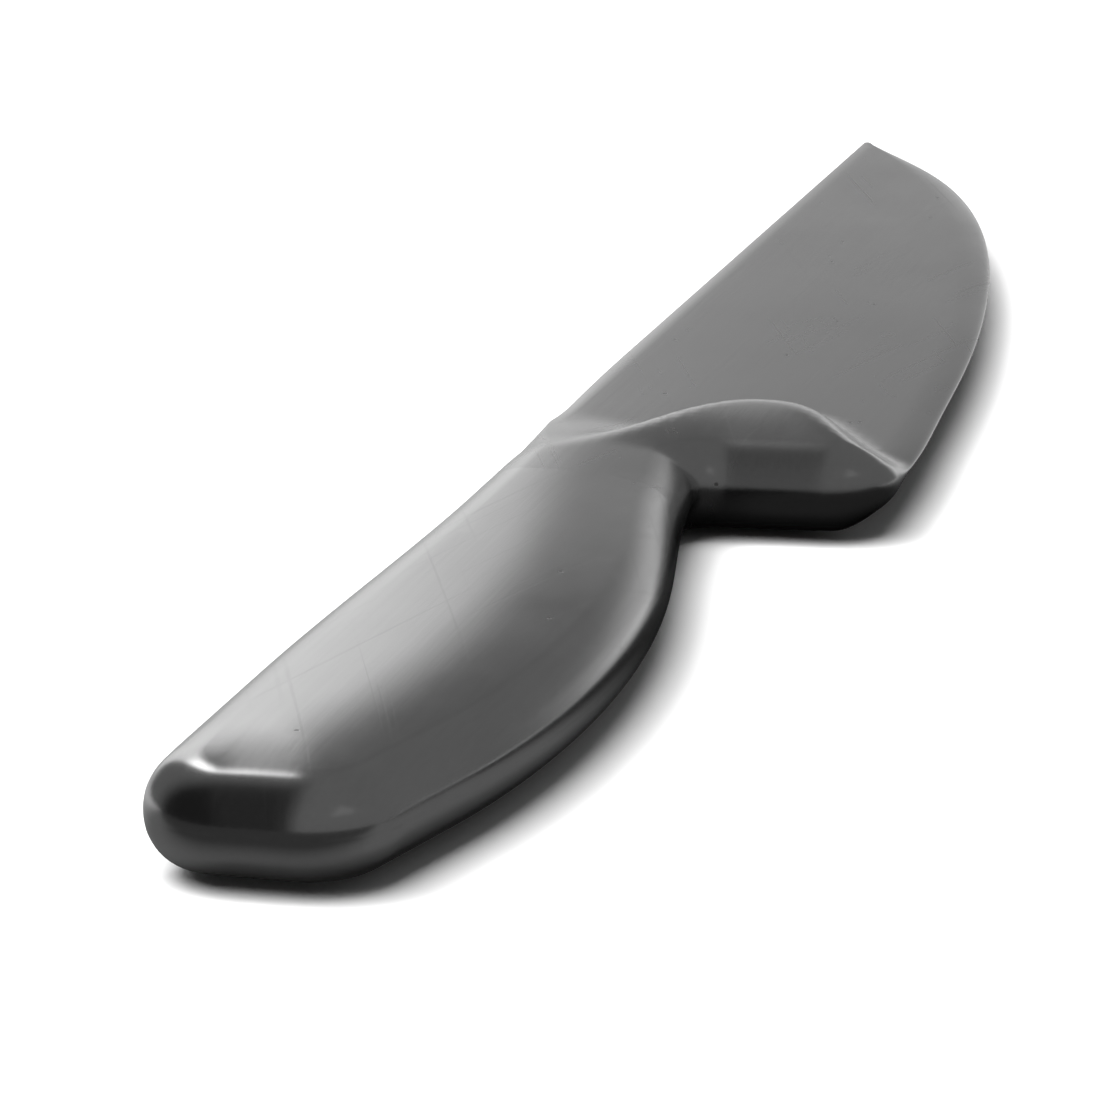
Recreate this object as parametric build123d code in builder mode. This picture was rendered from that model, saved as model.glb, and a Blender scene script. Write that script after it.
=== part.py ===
"""Kitchen knife, all stainless steel, with a brazed hollow handle, lying on its side.

Millimetres.  X runs from the butt of the handle to the tip of the blade, the spine is on +Y and the
cutting edge on -Y, and Z = 0 is the flat of the handle that the knife rests on.  The origin is at the
middle of the bottom of the knife's box.

The knife comes apart into a forged blade with its bolster and tang, two pressed handle shells, the
ribbon of braze that joins them on the middle plane, and the set filler that locks the tang in.
"""
import math
import os

from build123d import *

# ---- driving dimensions -------------------------------------------------------------------------
LENGTH = 230.0           # butt to tip
WIDTH = 27.8             # spine to the widest point of the edge
THICK = 8.0              # handle and bolster
ROUND = 3.9              # rounding of the sides, almost a full half circle

JOINT = 76.0             # where the shells end and the bolster begins, from the butt
WALL = 1.0               # shell sheet
BRAZE = 0.2              # thickness of the braze between the shells

BUTT_ROUND = (5.5, 6.0)  # plan radii of the butt's corners, on the spine side and on the edge side
SPINE_HOLLOW = 0.9       # how far the spine waists in along the handle
NECK_WIDTH = 14.0        # spine to notch
HEEL = 88.3              # the blade's heel, from the butt
NOTCH_ROUND = 2.2
HEEL_ROUND = 5.2
THIN_FROM = 132.0        # past here the blade is too thin for the side rounding to count

BLADE_SPINE = (2.7, 1.7)     # thickness at the spine, at the bolster and at the tip
BLADE_EDGE = (1.0, 0.6)      # thickness at the edge, at the bolster and at the tip
FADE_START = (78.0, 86.0)    # where the bolster begins to thin, at the spine and over the heel
FADE_BULGE = 14.0            # how much further along it begins at the middle of the heel
BULGE_SET_IN = 16.5          # spine to the middle of that bulge
BULGE_WIDTH = 7.5            # its half width
FADE_LENGTHS = (30.0, 12.0)  # length of the fade at the spine and over the heel
FADE_TURN = 12.0             # from here on, from the spine, it is as over the heel
FADE_HEAD = THICK / 2 + 0.25    # half height of the fade's start, just above the handle's flat

SPIGOT = 5.0                 # how far the bolster's spigot enters the shells
SPIGOT_WIDTH = 12.6
SPIGOT_SET_IN = 8.3          # spine to the spigot's centre line
SPIGOT_GAP = 0.05
TANG_LENGTH = 64.0           # from the joint back into the handle
TANG_WIDTH = (11.0, 8.0)     # at the bolster and at its end
TANG_THICK = 4.4
TANG_SET_IN = 9.0            # spine to the tang's centre line
TANG_HOLE = 3.2
TANG_HOLES = (17.0, 36.0, 55.0)   # from the joint

MIDDLE = THICK / 2
REACH = 12.0                 # how far cutting tools overshoot
GRID = 3.0                   # spacing of the points that carry the fade's surface


def at(along, across):
    """A point of the plan view, given from the butt and from the spine."""
    return (along - LENGTH / 2, WIDTH / 2 - across)


# ---- plan outline -------------------------------------------------------------------------------
SPINE_END = at(20.0, 0.0)
SPINE_WAIST = [at(24.0, 0.0), at(66.0, SPINE_HOLLOW), at(126.0, 0.0)]
BUTT_CORNERS = [at(0.0, 0.0), at(0.0, 14.4)]
BELLY = [at(13.0, 17.5), at(24.0, 19.4), at(38.0, 20.2), at(60.0, 18.6), at(80.0, 15.2)]
BELLY_SLOPE = -3.1 / 13.0                       # of the belly where it leaves the butt
BELLY_LEAN = math.hypot(1, BELLY_SLOPE)         # across the knife, for one across the belly
NECK_SLOPE = 0.14
NOTCH = [at(HEEL, NECK_WIDTH), at(HEEL + 0.9, WIDTH)]
HEEL_END = at(99.0, WIDTH)
EDGE_NEAR = [at(115.0, 27.1), at(THIN_FROM, 26.1)]
EDGE_SLOPE = 0.065
EDGE_FAR = [at(THIN_FROM, 26.1), at(160.0, 23.3), at(188.0, 18.4), at(208.0, 12.6), at(220.0, 7.0)]
TIP = at(LENGTH, 0.0)
TIP_SLOPE = 0.72


def handle_outline(inset):
    """From the spine at the bolster's far end, round the butt, to the neck on the edge side."""
    waist = [(x, y - inset) for x, y in SPINE_WAIST]
    belly = [(x, y + inset * BELLY_LEAN) for x, y in BELLY]
    start = (SPINE_END[0], SPINE_END[1] - inset)
    corners = [
        (BUTT_CORNERS[0][0] + inset, BUTT_CORNERS[0][1] - inset),
        (BUTT_CORNERS[1][0] + inset, BUTT_CORNERS[1][1] + inset * (BELLY_LEAN + BELLY_SLOPE)),
    ]
    Spline(*reversed(waist), tangents=((-1, 0), (-1, 0)))
    Line(waist[0], start)
    FilletPolyline(start, *corners, belly[0], radius=[r - inset for r in BUTT_ROUND])
    Spline(*belly, tangents=((1, BELLY_SLOPE), (1, NECK_SLOPE)))
    return waist[-1], belly[-1]


def grip_outline():
    """Handle, bolster and heel, closed by a straight cut across the blade."""
    cut = at(THIN_FROM, 0.0)
    spine, neck = handle_outline(0)
    Line(cut, spine)
    FilletPolyline(neck, *NOTCH, HEEL_END, radius=(NOTCH_ROUND, HEEL_ROUND))
    Spline(HEEL_END, *EDGE_NEAR, tangents=((1, 0), (1, EDGE_SLOPE)))
    Line(EDGE_NEAR[-1], cut)


def inner_outline():
    """The inside of the shells, run on past the joint."""
    spine, neck = handle_outline(WALL)
    past = (spine[0], neck[1] + NECK_SLOPE * (spine[0] - neck[0]))
    Line(neck, past)
    Line(past, spine)


def fade(x):
    """1 at x = 0, falling smoothly to 0 at x = 1 and beyond."""
    x = min(max(x, 0.0), 1.0)
    return 1 - x * x * (3 - 2 * x)


def half_thickness(along, across):
    """Half the forging's thickness: a thin wedge, and the bolster that fades into it."""
    run = min(max((along - FADE_START[0]) / (LENGTH - FADE_START[0]), 0.0), 1.0)
    spine = BLADE_SPINE[0] + (BLADE_SPINE[1] - BLADE_SPINE[0]) * run
    edge = BLADE_EDGE[0] + (BLADE_EDGE[1] - BLADE_EDGE[0]) * run
    share = min(max(across / WIDTH, 0.0), 1.0)
    blade = (spine + (edge - spine) * share) / 2
    at_spine = fade(across / FADE_TURN)
    start = FADE_START[1] + (FADE_START[0] - FADE_START[1]) * at_spine
    start += FADE_BULGE * math.exp(-abs((across - BULGE_SET_IN) / BULGE_WIDTH) ** 2.5)
    length = FADE_LENGTHS[1] + (FADE_LENGTHS[0] - FADE_LENGTHS[1]) * at_spine
    return blade + (FADE_HEAD - blade) * fade((along - start) / length)


def flank(side):
    """One face of the forging, side 1 above the middle plane and -1 below it."""
    along_steps = math.ceil((LENGTH - JOINT + 2 * REACH) / GRID)
    across_steps = math.ceil((WIDTH + 3 * GRID) / GRID)
    rows = []
    for i in range(along_steps + 1):
        along = JOINT - REACH + i * GRID
        row = []
        for j in range(across_steps + 1):
            across = -GRID + j * GRID
            row.append(Vector(*at(along, across), MIDDLE + side * half_thickness(along, across)))
        rows.append(row)
    return Face.make_surface_from_array_of_points(rows)


# ---- shapes that more than one piece shares -----------------------------------------------------
with BuildPart() as envelope:
    with BuildSketch():
        with BuildLine():
            grip_outline()
        make_face()
    extrude(amount=THICK)
    rims = envelope.edges().group_by(Axis.Z)
    far_end = envelope.faces().sort_by(Axis.X)[-1]
    fillet(rims[0] + rims[-1] - far_end.edges(), ROUND)

with BuildPart() as cavity:
    with BuildSketch(Plane.XY.offset(WALL)):
        with BuildLine():
            inner_outline()
        make_face()
    extrude(amount=THICK - 2 * WALL)
    rims = cavity.edges().group_by(Axis.Z)
    far_end = cavity.faces().sort_by(Axis.X)[-1]
    fillet(rims[0] + rims[-1] - far_end.edges(), ROUND - WALL)

joint_plane = Plane.YZ.offset(JOINT - LENGTH / 2)
spigot_back = Plane.YZ.offset(JOINT - SPIGOT - LENGTH / 2)
shell_edges = (Plane.XY.offset(MIDDLE - BRAZE / 2), Plane.XY.offset(MIDDLE + BRAZE / 2))


# ---- blade forging: blade, bolster, spigot and tang in one --------------------------------------
with BuildPart() as blade:
    add(envelope.part)
    split(bisect_by=joint_plane, keep=Keep.TOP)
    with BuildSketch():
        with BuildLine():
            Line(EDGE_FAR[0], at(THIN_FROM, 0.0))
            Line(at(THIN_FROM, 0.0), TIP)
            Spline(*EDGE_FAR, TIP, tangents=((1, EDGE_SLOPE), (1, TIP_SLOPE)))
        make_face()
    extrude(amount=THICK)
    extrude(flank(1), amount=REACH, dir=(0, 0, 1), mode=Mode.SUBTRACT)
    extrude(flank(-1), amount=REACH, dir=(0, 0, -1), mode=Mode.SUBTRACT)

with BuildPart() as spigot:
    with BuildSketch(Plane.YZ.offset(JOINT - LENGTH / 2)):
        with Locations((WIDTH / 2 - SPIGOT_SET_IN, MIDDLE)):
            SlotOverall(SPIGOT_WIDTH, THICK - 2 * WALL - 2 * SPIGOT_GAP)
    extrude(amount=-SPIGOT)

with BuildPart() as tang:
    root = JOINT - SPIGOT
    end = JOINT - TANG_LENGTH
    with BuildSketch(Plane.XY.offset(MIDDLE - TANG_THICK / 2)):
        with BuildLine():
            Polyline(
                at(root, TANG_SET_IN - TANG_WIDTH[0] / 2),
                at(end, TANG_SET_IN - TANG_WIDTH[1] / 2),
                at(end, TANG_SET_IN + TANG_WIDTH[1] / 2),
                at(root, TANG_SET_IN + TANG_WIDTH[0] / 2),
                close=True,
            )
        make_face()
        with Locations(*[at(JOINT - back, TANG_SET_IN) for back in TANG_HOLES]):
            Circle(TANG_HOLE / 2, mode=Mode.SUBTRACT)
    extrude(amount=TANG_THICK)

with blade:
    add(spigot.part)
    add(tang.part)
blade.part.label = "blade"


# ---- handle shells ------------------------------------------------------------------------------
with BuildPart() as handle_shell_upper:
    add(envelope.part)
    add(cavity.part, mode=Mode.SUBTRACT)
    split(bisect_by=joint_plane, keep=Keep.BOTTOM)
    split(bisect_by=shell_edges[1], keep=Keep.TOP)
handle_shell_upper.part.label = "handle_shell_upper"

with BuildPart() as handle_shell_lower:
    add(envelope.part)
    add(cavity.part, mode=Mode.SUBTRACT)
    split(bisect_by=joint_plane, keep=Keep.BOTTOM)
    split(bisect_by=shell_edges[0], keep=Keep.BOTTOM)
handle_shell_lower.part.label = "handle_shell_lower"


# ---- braze between the shells -------------------------------------------------------------------
with BuildPart() as seam_braze:
    with BuildSketch(shell_edges[0]):
        with BuildLine():
            grip_outline()
        make_face()
        with BuildLine():
            inner_outline()
        make_face(mode=Mode.SUBTRACT)
    extrude(amount=BRAZE)
    split(bisect_by=joint_plane, keep=Keep.BOTTOM)
seam_braze.part.label = "seam_braze"


# ---- filler that locks the tang in --------------------------------------------------------------
with BuildPart() as handle_filler:
    add(cavity.part)
    split(bisect_by=spigot_back, keep=Keep.BOTTOM)
    add(blade.part, mode=Mode.SUBTRACT)
handle_filler.part.label = "handle_filler"


os.makedirs("parts", exist_ok=True)
for piece in (blade, handle_shell_upper, handle_shell_lower, seam_braze, handle_filler):
    export_step(piece.part, f"parts/{piece.part.label}.step")
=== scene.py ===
"""Looks of an all-steel kitchen knife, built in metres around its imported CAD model.

X runs from the butt to the tip, the spine is on +Y and the knife lies on Z = 0.  The plan outline is
drawn in millimetres, from the butt and from the spine, as the CAD part's is.  Rings of points run
inwards from it for the rounded sides, and a thickness formula lifts them and the points between.
"""
import math

import bmesh
import bpy
import numpy as np
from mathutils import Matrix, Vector, geometry


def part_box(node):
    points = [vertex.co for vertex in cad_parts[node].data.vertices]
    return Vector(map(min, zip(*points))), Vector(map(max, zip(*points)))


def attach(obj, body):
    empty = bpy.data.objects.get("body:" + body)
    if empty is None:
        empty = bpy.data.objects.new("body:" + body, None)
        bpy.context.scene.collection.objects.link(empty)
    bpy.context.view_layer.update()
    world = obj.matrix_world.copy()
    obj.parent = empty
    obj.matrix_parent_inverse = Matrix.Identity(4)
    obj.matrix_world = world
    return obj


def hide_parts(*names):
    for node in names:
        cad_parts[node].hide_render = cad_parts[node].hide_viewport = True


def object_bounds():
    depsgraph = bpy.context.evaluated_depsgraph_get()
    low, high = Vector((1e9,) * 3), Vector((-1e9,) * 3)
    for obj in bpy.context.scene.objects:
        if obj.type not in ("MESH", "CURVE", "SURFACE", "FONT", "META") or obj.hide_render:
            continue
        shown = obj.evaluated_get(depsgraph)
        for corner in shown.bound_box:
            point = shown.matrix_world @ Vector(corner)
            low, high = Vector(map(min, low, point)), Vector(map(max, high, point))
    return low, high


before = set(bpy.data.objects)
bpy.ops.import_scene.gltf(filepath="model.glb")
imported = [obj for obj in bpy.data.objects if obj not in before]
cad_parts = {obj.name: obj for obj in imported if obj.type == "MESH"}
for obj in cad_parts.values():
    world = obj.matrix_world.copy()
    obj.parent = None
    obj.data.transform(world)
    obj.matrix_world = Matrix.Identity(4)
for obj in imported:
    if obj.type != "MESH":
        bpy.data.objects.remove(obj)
cad_low, cad_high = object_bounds()

# ---- driving dimensions, in millimetres ---------------------------------------------------------
MM = 0.001
LENGTH = (cad_high.x - cad_low.x) / MM
WIDTH = (cad_high.y - cad_low.y) / MM
THICK = (cad_high.z - cad_low.z) / MM
MIDDLE = THICK / 2
JOINT = (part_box("handle_shell_upper")[1].x - cad_low.x) / MM    # shells end and bolster begins
BRAZE = (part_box("seam_braze")[1].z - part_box("seam_braze")[0].z) / MM
WALL = 1.0                   # shell sheet
ROUND = 3.9                  # the handle's sides, almost a full half circle

BUTT_ROUND = (5.5, 6.0)      # plan radii of the butt's corners
SPINE_HOLLOW = 0.9
NECK_WIDTH = 14.0
HEEL = 88.3
NOTCH_ROUND = 2.2
HEEL_ROUND = 5.2
TIP_ROUND = 0.35

BLADE_SPINE = (2.7, 1.7)     # thickness at the spine, at the bolster and at the tip
BLADE_EDGE = (1.0, 0.6)      # thickness at the edge, at the bolster and at the tip
FADE_START = (78.0, 86.0)    # the bolster thins into the blade from here, at the spine and over the heel
FADE_BULGE = 14.0            # and this much further along at the middle of the bulge over the heel
BULGE_SET_IN = 16.5          # spine to the middle of the bulge
BULGE_WIDTH = 7.5
FADE_LENGTHS = (30.0, 12.0)  # length of the fade at the spine and over the heel
FADE_TURN = 12.0             # from here on, from the spine, it is as over the heel
CROWN = (0.25, 1.3)          # drop of the top towards the spine side and towards the edge side
CROWN_REACH = 10.5           # how far in from the outline the crown starts
BEVEL = 2.7                  # width of the rolled-off band along the cutting edge

SPIGOT = 5.0
SPIGOT_WIDTH = 12.6
SPIGOT_SET_IN = 8.3
SPIGOT_GAP = 0.05
TANG_LENGTH = 64.0
TANG_WIDTH = (11.0, 8.0)
TANG_THICK = 4.4
TANG_SET_IN = 9.0
TANG_HOLE = 3.2
TANG_HOLES = (17.0, 36.0, 55.0)

STEP = 0.8                   # spacing of outline points on gentle curves
ARC_STEP = math.radians(6)   # and on the corners' arcs
CELL = 1.1                   # spacing of the points inside the rings
RING_DEGREES = (0, 0.6, 1.5, 3, 6, 10, 15, 20, 26, 32, 38, 44, 50, 56, 62, 68, 74, 80, 85, 90)
RINGS = [math.radians(a) for a in RING_DEGREES]
SAME_POINT = 0.02            # points of an outline closer than this are one point
WELD = 0.002                 # and so are points of a mesh closer than this
JOINT_BLEND = 5.0            # rings turn into the joint's plane over this length
PROBE = 1.5                  # the thickness that sizes a rounded side is read this far in
THINNEST_RIM = 0.6
EDGE_BAND = (3.0, 7.0)       # the edge's band starts this far past the heel, and is full after this much
SPINE_RIM = (0.363, 0.763)   # rim at the blade's spine: first times half thickness squared, less second
SPINE_RIM_LEAST = 0.15
TIP_SHARE = 0.3              # a rim may take this share of the blade's width near the tip
ON_SPINE = 1.0               # outline points closer to the spine line than this are on the spine
SHARP = math.radians(50)     # edges sharper than this stay sharp


def at(along, across):
    """A point of the plan view, given from the butt and from the spine."""
    return np.array((along - LENGTH / 2, WIDTH / 2 - across))


# ---- plan outline -------------------------------------------------------------------------------
SPINE_WAIST = [at(24.0, 0.0), at(66.0, SPINE_HOLLOW), at(126.0, 0.0)]
BUTT_CORNERS = [at(0.0, 0.0), at(0.0, 14.4)]
BELLY = [at(13.0, 17.5), at(24.0, 19.4), at(38.0, 20.2), at(60.0, 18.6), at(80.0, 15.2)]
BELLY_SLOPE = -3.1 / 13.0
NECK_SLOPE = 0.14
NOTCH = [at(HEEL, NECK_WIDTH), at(HEEL + 0.9, WIDTH)]
HEEL_END = at(99.0, WIDTH)
EDGE = [HEEL_END, at(115.0, 27.1), at(132.0, 26.1), at(160.0, 23.3), at(188.0, 18.4), at(208.0, 12.6),
        at(220.0, 7.0), at(LENGTH, 0.0)]
TIP_SLOPE = 0.72


def spline(points, start, end):
    """Points spaced STEP apart on the smooth curve through these points, with these end directions."""
    p = np.array(points)
    h = np.linalg.norm(np.diff(p, axis=0), axis=1)
    n = len(p)
    system = np.eye(n)
    slopes = np.zeros((n, 2))
    slopes[0] = np.array(start) / np.linalg.norm(start)
    slopes[-1] = np.array(end) / np.linalg.norm(end)
    for i in range(1, n - 1):
        system[i, i - 1:i + 2] = (1 / h[i - 1], 2 / h[i - 1] + 2 / h[i], 1 / h[i])
        slopes[i] = 3 * ((p[i] - p[i - 1]) / h[i - 1] ** 2 + (p[i + 1] - p[i]) / h[i] ** 2)
    m = np.linalg.solve(system, slopes)
    made = []
    for i in range(n - 1):
        t = np.linspace(0, 1, max(2, math.ceil(h[i] / STEP)) + 1)[:-1, None]
        made.append(
            (1 + 2 * t) * (1 - t) ** 2 * p[i] + t * (1 - t) ** 2 * h[i] * m[i]
            + t * t * (3 - 2 * t) * p[i + 1] + t * t * (t - 1) * h[i] * m[i + 1]
        )
    return np.vstack(made + [p[-1:]])


def straight(a, b):
    """Points spaced STEP apart from a to b."""
    t = np.linspace(0, 1, max(2, math.ceil(np.linalg.norm(b - a) / STEP) + 1))[:, None]
    return a + (b - a) * t


def corner(before, point, after, radius):
    """The arc of this radius that rounds the corner at a point."""
    u = (before - point) / np.linalg.norm(before - point)
    v = (after - point) / np.linalg.norm(after - point)
    half = math.acos(np.dot(u, v)) / 2
    middle = point + (u + v) / np.linalg.norm(u + v) * radius / math.sin(half)
    first = point + u * radius / math.tan(half) - middle
    last = point + v * radius / math.tan(half) - middle
    turn = math.pi - 2 * half
    steps = math.ceil(turn / ARC_STEP)
    t = np.linspace(0, 1, steps + 1)[:, None]
    return middle + (first * np.sin((1 - t) * turn) + last * np.sin(t * turn)) / math.sin(turn)


def joined(*runs):
    """Runs of points as one line, without the points that repeat."""
    line = [runs[0][0]]
    for run in runs:
        line += [p for p in run if np.linalg.norm(p - line[-1]) > SAME_POINT]
    return np.array(line)


def handle_line():
    """From the joint on the spine, round the butt, to the joint on the edge side."""
    spine = spline(SPINE_WAIST, (1, 0), (1, 0))
    waist = spine[spine[:, 0] < JOINT_X - 0.1][::-1]
    belly = spline(BELLY, (1, BELLY_SLOPE), (1, NECK_SLOPE))
    butt = corner(waist[-1], BUTT_CORNERS[0], BUTT_CORNERS[1], BUTT_ROUND[0])
    low = corner(BUTT_CORNERS[0], BUTT_CORNERS[1], BELLY[0], BUTT_ROUND[1])
    near = belly[belly[:, 0] < JOINT_X - 0.1]
    return joined([level(spine, JOINT_X)], waist, straight(waist[-1], butt[0]), butt,
                  straight(butt[-1], low[0]), low, straight(low[-1], near[0]), near,
                  [level(belly, JOINT_X)])


def blade_line():
    """From the joint on the edge side, round notch, heel and tip, to the joint on the spine."""
    belly = spline(BELLY, (1, BELLY_SLOPE), (1, NECK_SLOPE))
    neck = belly[belly[:, 0] > JOINT_X + 0.1]
    notch = corner(neck[-1], *NOTCH, NOTCH_ROUND)
    heel = corner(*NOTCH, HEEL_END, HEEL_ROUND)
    edge = spline(EDGE, (1, 0), (1, TIP_SLOPE))
    tip = corner(edge[-2], edge[-1], SPINE_WAIST[-1], TIP_ROUND)
    spine = spline(SPINE_WAIST, (1, 0), (1, 0))
    waist = spine[spine[:, 0] > JOINT_X + 0.1][::-1]
    return joined([level(belly, JOINT_X)], neck, straight(neck[-1], notch[0]), notch,
                  straight(notch[-1], heel[0]), heel, straight(heel[-1], edge[0]),
                  edge[edge[:, 0] < tip[0, 0]], tip, straight(tip[-1], waist[0]), waist,
                  [level(spine, JOINT_X)])


def level(line, x):
    """The point of a line at this x."""
    return np.array((x, np.interp(x, line[:, 0], line[:, 1])))


JOINT_X = JOINT - LENGTH / 2
HANDLE_LINE = handle_line()
BLADE_LINE = blade_line()


# ---- thickness ----------------------------------------------------------------------------------
def smooth(x):
    """0 below 0, 1 above 1, and a smooth step between."""
    x = np.clip(x, 0, 1)
    return x * x * (3 - 2 * x)


def distance(points, line):
    """From each point to the nearest place on a line."""
    best = np.full(len(points), 1e9)
    for start, run in zip(line[:-1], np.diff(line, axis=0)):
        t = np.clip(((points - start) @ run) / (run @ run), 0, 1)[:, None]
        best = np.minimum(best, np.linalg.norm(points - start - t * run, axis=1))
    return best


WHOLE = joined(HANDLE_LINE, BLADE_LINE)
BEFORE_TIP = WHOLE[WHOLE[:, 0] < at(HEEL + 6.0, 0)[0]]
EDGE_SIDE = BEFORE_TIP[BEFORE_TIP[:, 1] < WIDTH / 2 - 6.0]
SPINE_SIDE = np.array([at(0.0, 0.0), *SPINE_WAIST, at(LENGTH, 0.0)])


def bolster_share(points):
    """1 where the knife is as thick as its handle, falling to 0 on the blade."""
    along = points[:, 0] + LENGTH / 2
    across = WIDTH / 2 - points[:, 1]
    over_heel = smooth(across / FADE_TURN)
    start = FADE_START[0] + (FADE_START[1] - FADE_START[0]) * over_heel
    start += FADE_BULGE * np.exp(-np.abs((across - BULGE_SET_IN) / BULGE_WIDTH) ** 2.5)
    length = FADE_LENGTHS[0] + (FADE_LENGTHS[1] - FADE_LENGTHS[0]) * over_heel
    return 1 - smooth((along - start) / length)


def half_thickness(points):
    """Half the knife's thickness at points of the plan view, the rounded sides left out."""
    along = points[:, 0] + LENGTH / 2
    across = WIDTH / 2 - points[:, 1]
    run = np.clip((along - FADE_START[0]) / (LENGTH - FADE_START[0]), 0, 1)
    spine = BLADE_SPINE[0] + (BLADE_SPINE[1] - BLADE_SPINE[0]) * run
    edge = BLADE_EDGE[0] + (BLADE_EDGE[1] - BLADE_EDGE[0]) * run
    blade = (spine + (edge - spine) * np.clip(across / WIDTH, 0, 1)) / 2
    share = bolster_share(points)
    drop = CROWN[0] * np.maximum(1 - distance(points, SPINE_SIDE) / CROWN_REACH, 0) ** 2
    drop += CROWN[1] * np.maximum(1 - distance(points, EDGE_SIDE) / CROWN_REACH, 0) ** 2
    return blade + (THICK / 2 - blade) * share - drop * share


# ---- skins --------------------------------------------------------------------------------------
def inward(line):
    """Unit directions from a line into the knife; at the joint they lie in its plane."""
    run = np.gradient(line, axis=0)
    run /= np.linalg.norm(run, axis=1)[:, None]
    side = np.column_stack((-run[:, 1], run[:, 0]))
    near = 1 - smooth(np.abs(line[:, 0] - JOINT_X) / JOINT_BLEND)
    side[:, 0] *= 1 - near
    return side / np.linalg.norm(side, axis=1)[:, None]


def rim_width(line):
    """Width of the rounded side at each point of a line."""
    thick = half_thickness(line + inward(line) * PROBE)
    along = line[:, 0] + LENGTH / 2
    across = WIDTH / 2 - line[:, 1]
    width = np.clip(thick, THINNEST_RIM, ROUND)
    on_edge = smooth((along - HEEL - EDGE_BAND[0]) / EDGE_BAND[1]) * (across > ON_SPINE)
    width = width + (BEVEL - width) * on_edge
    on_spine = (across < ON_SPINE) & (along > JOINT)
    spine_rim = np.clip(SPINE_RIM[0] * thick ** 2 - SPINE_RIM[1], SPINE_RIM_LEAST, width)
    width = np.where(on_spine, spine_rim, width)
    blade_width = np.interp(line[:, 0], np.array(EDGE)[:, 0], WIDTH / 2 - np.array(EDGE)[:, 1])
    room = np.where(along > HEEL + 5.0, TIP_SHARE * blade_width, ROUND)
    return np.minimum(width, np.maximum(room, 0.05))


def filled(border):
    """Triangles that fill a closed border, with a regular net of points inside it."""
    low = border.min(axis=0)
    high = border.max(axis=0)
    net = []
    row = 0
    y = low[1] + CELL / 2
    while y < high[1]:
        x = low[0] + CELL * (0.5 + 0.5 * (row % 2))
        while x < high[0]:
            net.append((x, y))
            x += CELL
        y += CELL * math.sqrt(3) / 2
        row += 1
    net = np.array(net)
    closed = np.vstack((border, border[:1]))
    net = net[inside(net, border) & (distance(net, closed) > CELL * 0.55)]
    points = [Vector(p) for p in np.vstack((border, net))]
    found = geometry.delaunay_2d_cdt(points, [], [list(range(len(border)))], 1, 1e-5)
    return net, [tuple(f) for f in found[2]]


def inside(points, border):
    """Whether each point is inside a closed border."""
    within = np.zeros(len(points), bool)
    for a, b in zip(border, np.roll(border, -1, axis=0)):
        crosses = (a[1] > points[:, 1]) != (b[1] > points[:, 1])
        if a[1] != b[1]:
            x = a[0] + (points[:, 1] - a[1]) / (b[1] - a[1]) * (b[0] - a[0])
            within ^= crosses & (points[:, 0] < x)
    return within


def skin(line, set_in=0.0, sink=0.0, foot=0.0, net=None):
    """One side of the knife inside an outline that starts and ends at the joint.

    set_in moves the outline inwards and sink lowers the top, for the inside of a sheet.  foot is how
    far above the middle plane the skin starts.  Gives points (height above the middle plane), faces,
    the order of the outline's points and of the joint's points, and the net of points between."""
    side = inward(line)
    width = rim_width(line)
    points = []
    for a in RINGS:
        deep = set_in + (width - set_in) * (1 - math.cos(a))
        plan = line + side * deep[:, None]
        height = half_thickness(line + side * np.maximum(deep, 1.0)[:, None]) - sink
        up = foot + (height - foot) * math.sin(a)
        points.append(np.column_stack((plan, up)))
    count = len(line)
    last = points[-1][:, :2]
    cut = straight(last[-1], last[0])[1:-1]
    border = np.vstack((last, cut))
    if net is None:
        net = filled(border)
    inner, triangles = net
    plan = np.vstack((cut, inner))
    points.append(np.column_stack((plan, half_thickness(plan) - sink)))
    first = count * (len(RINGS) - 1)
    faces = []
    for k in range(len(RINGS) - 1):
        for i in range(count - 1):
            a = k * count + i
            faces.append((a, a + 1, a + 1 + count, a + count))
    faces += [tuple(first + v for v in face) for face in triangles]
    levels = range(len(RINGS))
    joint = [k * count + count - 1 for k in levels]
    joint += [first + count + i for i in range(len(cut))]
    joint += [k * count for k in reversed(levels)]
    return np.vstack(points), faces, list(range(count)), joint, net


def make_object(name, points, faces):
    """A smooth-shaded object from points in millimetres."""
    mesh = bpy.data.meshes.new(name)
    mesh.from_pydata([tuple(p) for p in np.array(points) * MM], [], faces)
    work = bmesh.new()
    work.from_mesh(mesh)
    bmesh.ops.remove_doubles(work, verts=work.verts, dist=WELD * MM)
    bmesh.ops.dissolve_degenerate(work, edges=work.edges, dist=WELD * MM)
    bmesh.ops.recalc_face_normals(work, faces=work.faces)
    work.to_mesh(mesh)
    work.free()
    mesh.shade_smooth()
    mesh.set_sharp_from_angle(angle=SHARP)
    made = bpy.data.objects.new(name, mesh)
    bpy.context.scene.collection.objects.link(made)
    return made


def placed(points, side):
    """Points above (side 1) or below (side -1) the middle plane."""
    return np.column_stack((points[:, :2], MIDDLE + side * points[:, 2]))


def strip(a, b):
    """Faces between two rows of as many points."""
    return [(a[i], a[i + 1], b[i + 1], b[i]) for i in range(len(a) - 1)]


# ---- pieces -------------------------------------------------------------------------------------
def make_shell(name, side, net):
    """A pressed half shell: its outer and inner skins, closed along the seam and the joint."""
    points, faces, rim, joint, net = skin(HANDLE_LINE, foot=BRAZE / 2, net=net)
    inner = skin(HANDLE_LINE, set_in=WALL, sink=WALL, foot=BRAZE / 2, net=net)
    shift = len(points)
    faces = faces + [tuple(v + shift for v in face) for face in inner[1]]
    faces += strip(rim, [v + shift for v in inner[2]])
    faces += strip(joint, [v + shift for v in inner[3]])
    both = np.vstack((placed(points, side), placed(inner[0], side)))
    return make_object(name, both, faces), net


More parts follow.
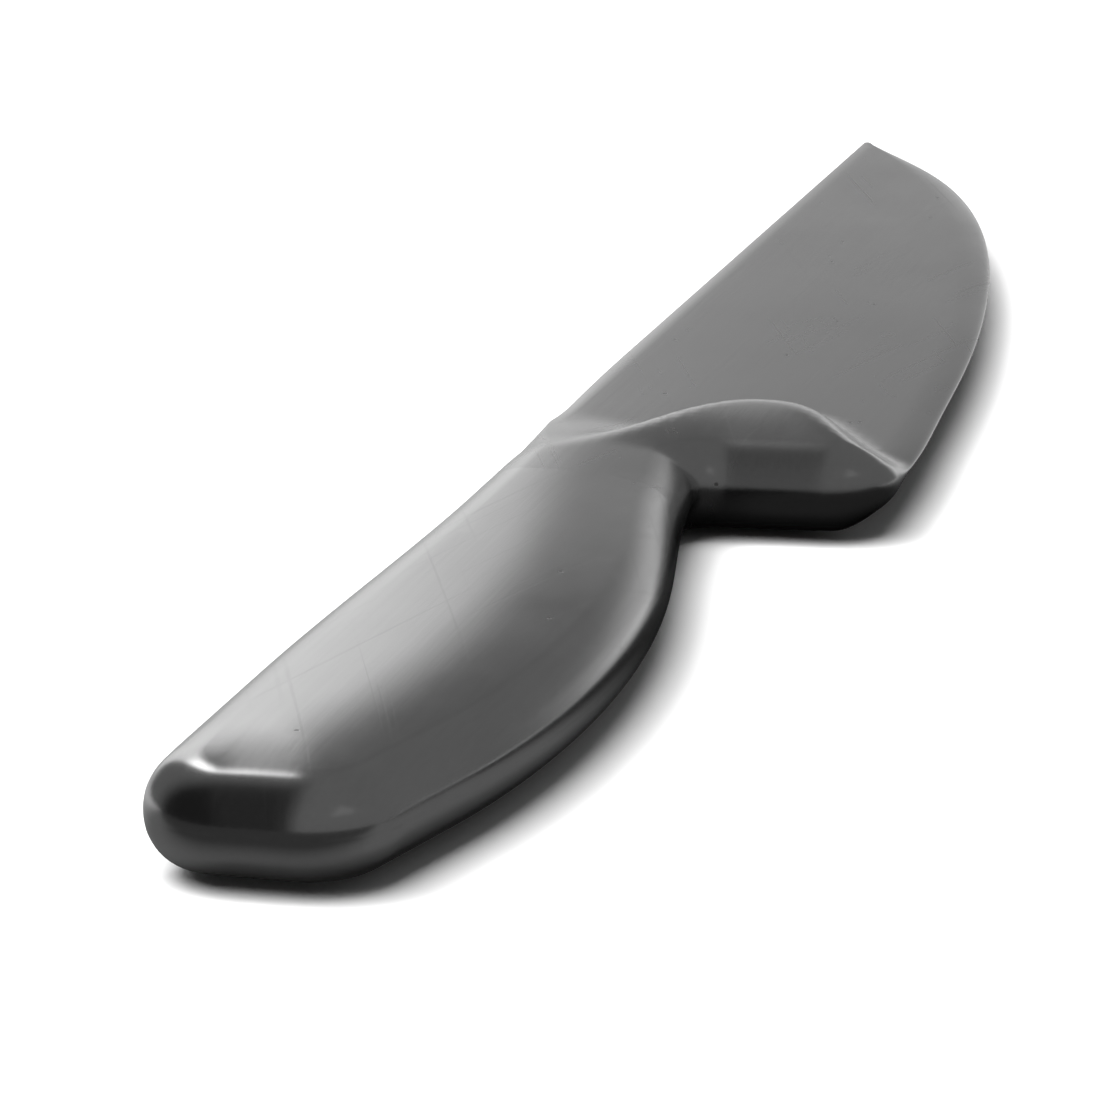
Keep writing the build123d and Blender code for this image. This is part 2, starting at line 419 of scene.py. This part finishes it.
def make_blade():
    """Blade, bolster, spigot and tang as one closed mesh."""
    points, faces, _, joint, _ = skin(BLADE_LINE)
    shift = len(points)
    faces = faces + [tuple(v + shift for v in face) for face in faces]
    faces += strip(joint, [v + shift for v in joint])
    both = np.vstack((placed(points, 1), placed(points, -1)))
    blade = make_object("knife_blade", both, faces)
    for made in (make_spigot(), make_tang()):
        merge(blade, made, "UNION")
    blade.data.shade_smooth()
    blade.data.set_sharp_from_angle(angle=SHARP)
    return blade


def capped(name, points):
    """A closed solid from the points of one end and then as many points of the other end."""
    count = len(points) // 2
    faces = [tuple(reversed(range(count))), tuple(range(count, 2 * count))]
    faces += [(i, (i + 1) % count, (i + 1) % count + count, i + count) for i in range(count)]
    return make_object(name, points, faces)


def prism(name, outline, low, high):
    """A closed solid from a plan outline, between two heights."""
    return capped(name, [(*p, z) for z in (low, high) for p in outline])


def merge(base, tool, operation):
    """Joins or cuts base with tool, and removes the tool."""
    change = base.modifiers.new("merge", "BOOLEAN")
    change.operation = operation
    change.solver = "EXACT"
    change.object = tool
    graph = bpy.context.evaluated_depsgraph_get()
    mesh = bpy.data.meshes.new_from_object(base.evaluated_get(graph))
    base.modifiers.clear()
    base.data = mesh
    bpy.data.objects.remove(tool)


def make_spigot():
    """The stadium-section plug that enters the shells."""
    radius = THICK / 2 - WALL - SPIGOT_GAP
    reach = SPIGOT_WIDTH / 2 - radius
    centre = WIDTH / 2 - SPIGOT_SET_IN
    section = []
    for end in (1, -1):
        for i in range(17):
            a = math.pi * i / 16 - math.pi / 2
            y = centre + end * (reach + radius * math.cos(a))
            section.append((y, MIDDLE + end * radius * math.sin(a)))
    ends = (JOINT_X - SPIGOT, JOINT_X + 1.0)
    return capped("spigot", [(x, y, z) for x in ends for y, z in section])


def make_tang():
    """The tapered bar inside the handle, with its three holes."""
    root = JOINT - SPIGOT + 1.0
    end = JOINT - TANG_LENGTH
    outline = [
        at(root, TANG_SET_IN - TANG_WIDTH[0] / 2), at(end, TANG_SET_IN - TANG_WIDTH[1] / 2),
        at(end, TANG_SET_IN + TANG_WIDTH[1] / 2), at(root, TANG_SET_IN + TANG_WIDTH[0] / 2),
    ]
    tang = prism("tang", outline, MIDDLE - TANG_THICK / 2, MIDDLE + TANG_THICK / 2)
    turns = [2 * math.pi * i / 32 for i in range(32)]
    circle = [TANG_HOLE / 2 * np.array((math.cos(a), math.sin(a))) for a in turns]
    for back in TANG_HOLES:
        ring = [at(JOINT - back, TANG_SET_IN) + p for p in circle]
        merge(tang, prism("hole", ring, MIDDLE - TANG_THICK, MIDDLE + TANG_THICK), "DIFFERENCE")
    return tang


def make_braze():
    """The ribbon of braze between the shells, flush with them outside."""
    side = inward(HANDLE_LINE)
    inner = HANDLE_LINE + side * WALL
    count = len(HANDLE_LINE)
    rows = [(HANDLE_LINE, -1), (HANDLE_LINE, 1), (inner, 1), (inner, -1)]
    points = [(*p, MIDDLE + z * BRAZE / 2) for line, z in rows for p in line]
    faces = []
    for k in range(4):
        a = [k * count + i for i in range(count)]
        b = [(k + 1) % 4 * count + i for i in range(count)]
        faces += strip(a, b)
    faces += [tuple(k * count + i for k in range(4)) for i in (0, count - 1)]
    return make_object("braze_seam", points, faces)


# ---- materials ----------------------------------------------------------------------------------
class Nodes:
    """Short ways to add and link shader nodes."""

    def __init__(self, tree):
        self.tree = tree

    def add(self, kind, **values):
        node = self.tree.nodes.new("ShaderNode" + kind)
        for key, value in values.items():
            setattr(node, key, value)
        return node

    def link(self, source, target):
        self.tree.links.new(source, target)

    def maths(self, operation, a, b=0.0, c=0.0):
        node = self.add("Math", operation=operation)
        for socket, value in zip(node.inputs, (a, b, c)):
            if isinstance(value, bpy.types.NodeSocket):
                self.link(value, socket)
            else:
                socket.default_value = value
        return node.outputs[0]

    def ramp(self, value, low, high, start=0.0, end=1.0, kind="SMOOTHSTEP"):
        node = self.add("MapRange", interpolation_type=kind)
        self.link(value, node.inputs["Value"])
        for name, number in (("From Min", low), ("From Max", high), ("To Min", start), ("To Max", end)):
            node.inputs[name].default_value = number
        return node.outputs["Result"]

    def stretched(self, source, cycles, turn=0.0):
        """Coordinates turned about Z, and then with this many cycles to the metre along each axis."""
        node = self.add("Mapping", vector_type="TEXTURE")
        self.link(source, node.inputs["Vector"])
        node.inputs["Scale"].default_value = [1 / c for c in cycles]
        node.inputs["Rotation"].default_value = (0, 0, turn)
        return node.outputs["Vector"]

    def noise(self, source, scale, detail=2.0, rough=0.5):
        node = self.add("TexNoise")
        self.link(source, node.inputs["Vector"])
        node.inputs["Scale"].default_value = scale
        node.inputs["Detail"].default_value = detail
        node.inputs["Roughness"].default_value = rough
        return node.outputs["Fac"]

    def cells(self, source, scale):
        node = self.add("TexVoronoi")
        self.link(source, node.inputs["Vector"])
        node.inputs["Scale"].default_value = scale
        return node.outputs["Distance"]


def new_material(name):
    material = bpy.data.materials.new(name)
    material.use_nodes = True
    tree = material.node_tree
    return material, Nodes(tree), tree.nodes["Principled BSDF"]


def grey(nodes, value, target):
    """Feeds a grey value into a colour socket."""
    node = nodes.add("CombineColor")
    for i in range(3):
        nodes.link(value, node.inputs[i])
    nodes.link(node.outputs["Color"], target)


def steel(name, tone, rough, brushed):
    """Stainless steel: fine brushing along the knife, smudges, pits and hairline scratches."""
    material, nodes, shader = new_material(name)
    place = nodes.add("TexCoord").outputs["Object"]
    brushing = nodes.noise(nodes.stretched(place, (60, 2600, 2600)), 1.0, 3.0, 0.6)
    smudges = nodes.noise(nodes.stretched(place, (90, 170, 170)), 1.0, 4.0, 0.55)
    clouds = nodes.noise(place, 55.0, 2.0, 0.5)
    grain = nodes.noise(place, 2400.0, 2.0, 0.6)
    spots = nodes.cells(place, 520.0)
    thin_out = nodes.ramp(nodes.noise(place, 210.0, 1.0), 0.56, 0.68)
    pits = nodes.maths("MULTIPLY", nodes.ramp(spots, 0.10, 0.05), thin_out)
    hairs = None
    for turn in (0.35, -0.22):
        line = nodes.noise(nodes.stretched(place, (30, 3400, 200), turn), 1.0, 0.0)
        hair = nodes.ramp(line, 0.72, 0.82)
        hairs = hair if hairs is None else nodes.maths("MAXIMUM", hairs, hair)

    value = nodes.maths("MULTIPLY_ADD", nodes.maths("SUBTRACT", smudges, 0.5), 0.10, tone)
    value = nodes.maths("MULTIPLY_ADD", nodes.maths("SUBTRACT", brushing, 0.5), 0.05, value)
    value = nodes.maths("MULTIPLY_ADD", pits, -0.20, value)
    grey(nodes, value, shader.inputs["Base Color"])
    dull = nodes.maths("MULTIPLY_ADD", nodes.maths("SUBTRACT", clouds, 0.5), 0.10, rough)
    dull = nodes.maths("MULTIPLY_ADD", nodes.maths("SUBTRACT", smudges, 0.5), 0.12, dull)
    dull = nodes.maths("MULTIPLY_ADD", pits, 0.25, dull)
    dull = nodes.maths("MULTIPLY_ADD", hairs, 0.03, dull)
    nodes.link(dull, shader.inputs["Roughness"])
    height = nodes.maths("MULTIPLY_ADD", brushing, brushed, nodes.maths("MULTIPLY", grain, 0.12))
    height = nodes.maths("MULTIPLY_ADD", smudges, 0.35, height)
    height = nodes.maths("MULTIPLY_ADD", pits, -2.5, height)
    height = nodes.maths("MULTIPLY_ADD", hairs, -0.12, height)
    bump = nodes.add("Bump")
    bump.inputs["Strength"].default_value = 1.0
    bump.inputs["Distance"].default_value = 0.004 * MM
    nodes.link(height, bump.inputs["Height"])
    nodes.link(bump.outputs["Normal"], shader.inputs["Normal"])
    shader.inputs["Metallic"].default_value = 1.0
    return material


def braze_metal():
    """Silver-coloured braze, polished as bright as the steel."""
    material, nodes, shader = new_material("silver braze")
    place = nodes.add("TexCoord").outputs["Object"]
    flow = nodes.noise(place, 900.0, 3.0, 0.6)
    value = nodes.ramp(flow, 0.3, 0.7, 0.53, 0.59, "LINEAR")
    grey(nodes, value, shader.inputs["Base Color"])
    nodes.link(nodes.ramp(flow, 0.3, 0.7, 0.19, 0.25, "LINEAR"), shader.inputs["Roughness"])
    bump = nodes.add("Bump")
    bump.inputs["Distance"].default_value = 0.004 * MM
    nodes.link(flow, bump.inputs["Height"])
    nodes.link(bump.outputs["Normal"], shader.inputs["Normal"])
    shader.inputs["Metallic"].default_value = 1.0
    return material


def filler_resin():
    """Dull set resin with mineral grains."""
    material, nodes, shader = new_material("set resin")
    place = nodes.add("TexCoord").outputs["Object"]
    grains = nodes.noise(place, 1500.0, 4.0, 0.7)
    colour = nodes.add("ValToRGB")
    colour.color_ramp.elements[0].color = (0.05, 0.04, 0.03, 1)
    colour.color_ramp.elements[1].color = (0.16, 0.13, 0.10, 1)
    nodes.link(grains, colour.inputs["Fac"])
    nodes.link(colour.outputs["Color"], shader.inputs["Base Color"])
    nodes.link(nodes.ramp(grains, 0.3, 0.7, 0.7, 0.9, "LINEAR"), shader.inputs["Roughness"])
    bump = nodes.add("Bump")
    bump.inputs["Distance"].default_value = 0.05 * MM
    nodes.link(grains, bump.inputs["Height"])
    nodes.link(bump.outputs["Normal"], shader.inputs["Normal"])
    return material


def floor_paint():
    """Plain pale studio floor with a barely visible mottle."""
    material, nodes, shader = new_material("pale floor")
    place = nodes.add("TexCoord").outputs["Object"]
    mottle = nodes.noise(place, 30.0, 2.0)
    grey(nodes, nodes.ramp(mottle, 0.3, 0.7, 0.88, 0.90, "LINEAR"), shader.inputs["Base Color"])
    shader.inputs["Roughness"].default_value = 0.9
    shader.inputs["Specular IOR Level"].default_value = 0.2
    return material


def card_paint():
    """Painted light and shade for the steel to reflect: painted shade beside the knife, darkest by butt
    and heel, painted light on the spine side and past the blade.
    """
    material, nodes, shader = new_material("painted reflection card")
    split = nodes.add("SeparateXYZ")
    nodes.link(nodes.add("TexCoord").outputs["Object"], split.inputs[0])
    x, y = split.outputs[:2]
    # painted light: paler on the spine side, where the lamps light the floor, and past the blade
    spine_side = nodes.maths("MULTIPLY", nodes.ramp(y, 0.012, 0.016), nodes.ramp(x, -0.110, -0.085))
    pale = nodes.maths("MAXIMUM", spine_side, nodes.ramp(x, 0.0, 0.12))
    # painted shade: darker round the heel, where the notch lies in the knife's shadow, and in front of
    # the butt on the camera side
    from_heel = nodes.maths("ABSOLUTE", nodes.maths("ADD", x, 0.035))
    heel_shade = nodes.ramp(from_heel, 0.015, 0.05, 0.015, 0.10)
    butt_shade = nodes.ramp(x, -0.122, -0.112, 0.03, 0.10)
    dim = nodes.maths("MINIMUM", heel_shade, butt_shade)
    grey(nodes, nodes.maths("MULTIPLY_ADD", pale, 0.28, dim), shader.inputs["Base Color"])
    shader.inputs["Roughness"].default_value = 1.0
    shader.inputs["Specular IOR Level"].default_value = 0.0
    return material


# ---- studio -------------------------------------------------------------------------------------
CAMERA_PLACE = (-0.3977, -0.0802, 0.0942)
CAMERA_HEADING = math.radians(13.72)     # from +X towards +Y
CAMERA_PITCH = math.radians(14.0)        # downwards
CAMERA_LENS = 180.0                      # on a 36 mm sensor


def make_camera():
    data = bpy.data.cameras.new("camera")
    data.lens = CAMERA_LENS
    data.sensor_width = 36.0
    data.clip_start = 0.02
    data.clip_end = 50.0
    camera = bpy.data.objects.new("camera", data)
    bpy.context.scene.collection.objects.link(camera)
    camera.location = CAMERA_PLACE
    level_run = math.cos(CAMERA_PITCH)
    look = Vector((
        math.cos(CAMERA_HEADING) * level_run,
        math.sin(CAMERA_HEADING) * level_run,
        -math.sin(CAMERA_PITCH),
    ))
    camera.rotation_mode = "QUATERNION"
    camera.rotation_quaternion = look.to_track_quat("-Z", "Y")
    bpy.context.scene.camera = camera


def flat_card(name, height, material):
    """A large level plane that isn't part of the knife."""
    half = 8.0
    mesh = bpy.data.meshes.new(name)
    corners = [(-half, -half, height), (half, -half, height), (half, half, height), (-half, half, height)]
    mesh.from_pydata(corners, [], [(0, 1, 2, 3)])
    card = bpy.data.objects.new(name, mesh)
    bpy.context.scene.collection.objects.link(card)
    card.data.materials.append(material)
    return card


def make_floor():
    """The pale floor, and a dimmer card with painted light and shade that only the steel's reflections
    see.
    """
    floor = flat_card("floor", 0.0, floor_paint())
    floor.visible_glossy = False
    floor.visible_shadow = False
    # the lamps light this card, and its colour adds painted shade and painted light; it takes the floor's
    # place in the steel's reflections
    painted_reflection_card = flat_card("painted_reflection_card", -0.02 * MM, card_paint())
    painted_reflection_card.visible_camera = False
    painted_reflection_card.visible_diffuse = False
    painted_reflection_card.visible_transmission = False


def area_light(name, place, size, power):
    """A soft square light that shines on the knife and isn't seen in the steel."""
    data = bpy.data.lights.new(name, "AREA")
    data.shape = "RECTANGLE"
    data.size = size
    data.size_y = size
    data.energy = power
    light = bpy.data.objects.new(name, data)
    bpy.context.scene.collection.objects.link(light)
    light.location = place
    light.rotation_mode = "QUATERNION"
    light.rotation_quaternion = (-Vector(place)).to_track_quat("-Z", "Y")
    light.visible_glossy = False


# The sky, by the sine of the elevation (z) and the heading, which grows from +X towards the spine.
# Each pair is where a part of it fades out and where it is full.
WINDOW_RIGHT = (math.radians(9), math.radians(18))
WINDOW_LEFT = (math.radians(44), math.radians(38))
WINDOW_TOP = (0.93, 0.86)
LEAN_FROM = 0.35             # above this z the window's right side leans to the left
LEAN = 0.66
GLOW_HEADING = math.radians(10)
GLOW_REACH = (math.radians(45), math.radians(20))


def make_world():
    """Soft surroundings: a tall window behind on the spine side, a low glow ahead, dim elsewhere."""
    world = bpy.data.worlds.new("studio")
    bpy.context.scene.world = world
    world.use_nodes = True
    nodes = Nodes(world.node_tree)
    split = nodes.add("SeparateXYZ")
    nodes.link(nodes.add("TexCoord").outputs["Generated"], split.inputs[0])
    x, y, z = split.outputs
    heading = nodes.maths("ARCTAN2", y, x)

    window = nodes.maths("ADD", nodes.ramp(z, 0.05, 0.30, 0.8, 1.0), nodes.ramp(z, 0.55, 0.75, 0.0, 1.7))
    above = nodes.maths("MAXIMUM", nodes.maths("SUBTRACT", z, LEAN_FROM), 0.0)
    leaning = nodes.maths("MULTIPLY_ADD", above, -LEAN, heading)
    window = nodes.maths("MULTIPLY", window, nodes.ramp(leaning, *WINDOW_RIGHT))
    window = nodes.maths("MULTIPLY", window, nodes.ramp(heading, *WINDOW_LEFT))
    window = nodes.maths("MULTIPLY", window, nodes.ramp(z, *WINDOW_TOP))

    off = nodes.maths("ABSOLUTE", nodes.maths("SUBTRACT", heading, GLOW_HEADING))
    glow = nodes.maths("ADD", nodes.ramp(z, 0.285, 0.15, 0.0, 0.36), nodes.ramp(z, 0.15, 0.0, 0.0, 0.4))
    glow = nodes.maths("MULTIPLY", glow, nodes.ramp(off, *GLOW_REACH))

    from_camera = nodes.ramp(y, 0.30, -0.05, 0.015, 0.15)
    ahead = nodes.ramp(x, -0.3, 0.3, 0.0, 0.135)
    behind = nodes.maths("MULTIPLY", nodes.ramp(z, 0.35, 0.65, 0.0, 0.22), nodes.ramp(y, -0.25, -0.60))
    behind = nodes.maths("MULTIPLY", behind, nodes.ramp(x, 0.0, -0.3))
    room = nodes.maths("MAXIMUM", nodes.maths("MAXIMUM", from_camera, ahead), behind)

    sky = nodes.maths("MAXIMUM", nodes.maths("ADD", room, glow), window)
    grey(nodes, sky, world.node_tree.nodes["Background"].inputs["Color"])


def make_studio():
    make_camera()
    make_floor()
    make_world()
    area_light("overhead", (-0.6, 0.35, 1.5), 1.8, 52.0)
    area_light("key", (-0.2, 0.55, 1.0), 0.5, 5.0)
    bpy.context.scene.view_settings.view_transform = "Standard"
    bpy.context.scene.view_settings.look = "None"


# ---- the knife ----------------------------------------------------------------------------------
make_studio()
handle_steel = steel("handle steel", 0.56, 0.20, 0.5)
blade_steel = steel("blade steel", 0.54, 0.24, 1.0)

upper, shell_net = make_shell("upper_shell", 1, None)
lower, shell_net = make_shell("lower_shell", -1, shell_net)
PIECES = [
    (upper, "handle_shell_upper", "handle_steel", handle_steel),
    (lower, "handle_shell_lower", "handle_steel", handle_steel),
    (make_blade(), "blade", "blade_steel", blade_steel),
    (make_braze(), "seam_braze", "braze", braze_metal()),
]
for piece, node, slot, material in PIECES:
    piece.data.materials.clear()
    piece.data.materials.append(material)
    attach(piece, "root")
    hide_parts(node)

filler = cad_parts["handle_filler"]
filler.data.materials.clear()
filler.data.materials.append(filler_resin())
